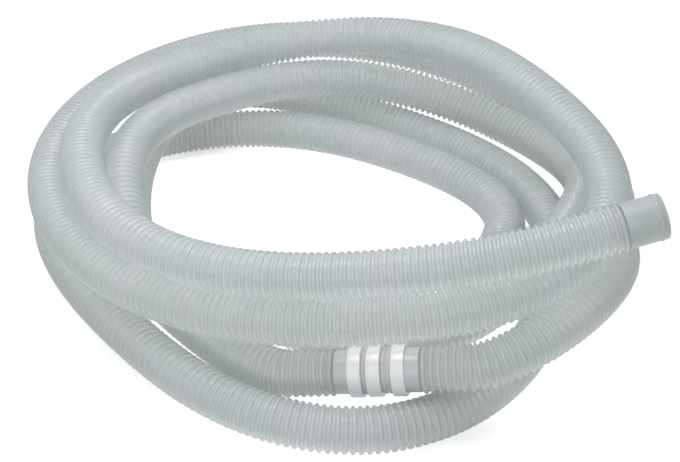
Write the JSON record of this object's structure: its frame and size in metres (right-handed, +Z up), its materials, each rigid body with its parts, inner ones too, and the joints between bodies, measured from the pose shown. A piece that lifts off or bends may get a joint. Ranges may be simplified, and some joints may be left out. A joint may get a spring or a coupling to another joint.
{
  "type": "pool vacuum hose",
  "caption": "Ribbed, see-through pool vacuum hose in a loose coil, with a plain end cuff, a banded joint between its two lengths and a swivel cuff at the far end.",
  "frame": {"origin": "centre of the coil's footprint, on the floor it lies on", "axes": "+Z up, -Y towards the viewer of the picture, +X to the side on which the end cuff comes out"},
  "size_m": [0.6742, 0.776, 0.2426],
  "materials": {
    "hose_plastic": "milky see-through plastic",
    "white_plastic": "smooth white plastic",
    "grey_plastic": "satin pale grey plastic",
    "seal_rubber": "black rubber"
  },
  "bodies": {
    "hose": {"hose_first_length": "hose_plastic", "hose_second_length": "hose_plastic", "end_cuff": "hose_plastic", "joint_cuff_first": "hose_plastic", "joint_cuff_second": "hose_plastic", "clamp_band_first": "white_plastic", "clamp_band_second": "white_plastic", "joiner": "white_plastic", "hose_end_bush": "grey_plastic", "swivel_insert": "grey_plastic", "swivel_seal": "seal_rubber"},
    "swivel": {"swivel_cuff": "hose_plastic"}
  },
  "joints": [
    {"name": "swivel_turn", "type": "hinge", "parent": "hose", "child": "swivel", "pos_m": [0.1671, -0.082, 0.02702], "axis": [-0.2361, -0.9717, 0.0018], "continuous": true}
  ]
}
